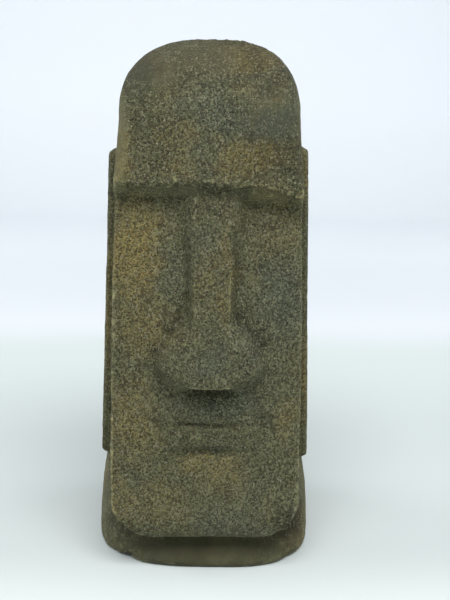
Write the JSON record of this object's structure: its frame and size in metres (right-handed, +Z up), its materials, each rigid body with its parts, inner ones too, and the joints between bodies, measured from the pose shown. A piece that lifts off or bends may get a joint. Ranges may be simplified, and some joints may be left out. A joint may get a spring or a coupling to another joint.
{
  "type": "tiki head statue",
  "caption": "Small tall stone head ornament with a long ridged nose, heavy brow and long slab ears, on its own flat-bottomed neck and foot.",
  "frame": {"origin": "middle of the flat underside of the foot", "axes": "+Z up through the crown, the face looks along -Y, +X is the right-hand side as a viewer faces it"},
  "size_m": [0.109, 0.1175, 0.25],
  "materials": {
    "cast_stone": "matt porous cast stone, dark olive grey-brown with ochre and grey-green patches and a grain of about 1 mm"
  },
  "bodies": {
    "root": {"tiki_head": "cast_stone"}
  },
  "joints": []
}
